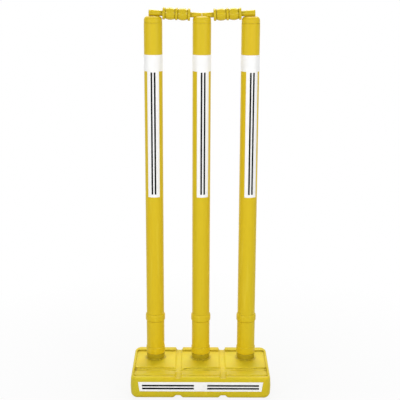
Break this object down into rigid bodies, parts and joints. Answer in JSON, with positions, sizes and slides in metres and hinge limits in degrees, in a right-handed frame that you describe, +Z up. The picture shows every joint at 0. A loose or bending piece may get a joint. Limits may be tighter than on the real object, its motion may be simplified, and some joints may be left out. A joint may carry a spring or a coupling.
{
  "type": "cricket wicket set",
  "caption": "Free-standing moulded plastic cricket wicket: hollow round stumps plugged into a flat three-lobed hollow base, with two turned bails lying across their tops.",
  "frame": {"origin": "under the middle of the base, on the ground, at the centre of the footprint of base and front label", "axes": "+X along the wicket towards the right-hand stump, +Y from the labelled front to the back, +Z up along the stumps"},
  "size_m": [0.286, 0.1604, 0.7766],
  "materials": {
    "base_plastic": "blow-moulded polyethylene, soft sheen, slightly wavy",
    "plug_plastic": "moulded polyethylene, soft sheen",
    "stump_plastic": "moulded polyethylene, soft sheen, faint streaks along its length",
    "cap_plastic": "moulded polyethylene, soft sheen",
    "bail_plastic": "moulded plastic, glossier than the stumps",
    "label_film": "white printed film with plain dark stripes"
  },
  "bodies": {
    "base": {"base_shell": "base_plastic", "base_label": "label_film"},
    "plug": {"filler_plug": "plug_plastic"},
    "stump_left": {"foot_left": "stump_plastic", "tube_left": "stump_plastic", "cap_left": "cap_plastic", "label_left": "label_film"},
    "stump_middle": {"foot_middle": "stump_plastic", "tube_middle": "stump_plastic", "cap_middle": "cap_plastic", "label_middle": "label_film"},
    "stump_right": {"foot_right": "stump_plastic", "tube_right": "stump_plastic", "cap_right": "cap_plastic", "label_right": "label_film"},
    "bail_left": {"bail_left": "bail_plastic"},
    "bail_right": {"bail_right": "bail_plastic"}
  },
  "joints": [
    {"name": "stump_middle_pull", "type": "slide", "parent": "base", "child": "stump_middle", "axis": [0, 0, 1], "range_m": [0, 0.048]},
    {"name": "stump_left_pull", "type": "slide", "parent": "base", "child": "stump_left", "axis": [0, 0, 1], "range_m": [0, 0.048]},
    {"name": "stump_right_pull", "type": "slide", "parent": "base", "child": "stump_right", "axis": [0, 0, 1], "range_m": [0, 0.048]},
    {"name": "bail_left_lift", "type": "slide", "parent": "stump_middle", "child": "bail_left", "axis": [0, 0, 1], "range_m": [0, 0.04]},
    {"name": "bail_right_lift", "type": "slide", "parent": "stump_middle", "child": "bail_right", "axis": [0, 0, 1], "range_m": [0, 0.04]},
    {"name": "filler_plug_pull", "type": "slide", "parent": "base", "child": "plug", "axis": [0, 1, 0], "range_m": [0, 0.025]}
  ],
  "couplings": [
    {"joint": "stump_left_pull", "follows": "stump_middle_pull", "ratio": 1},
    {"joint": "stump_right_pull", "follows": "stump_middle_pull", "ratio": 1}
  ]
}
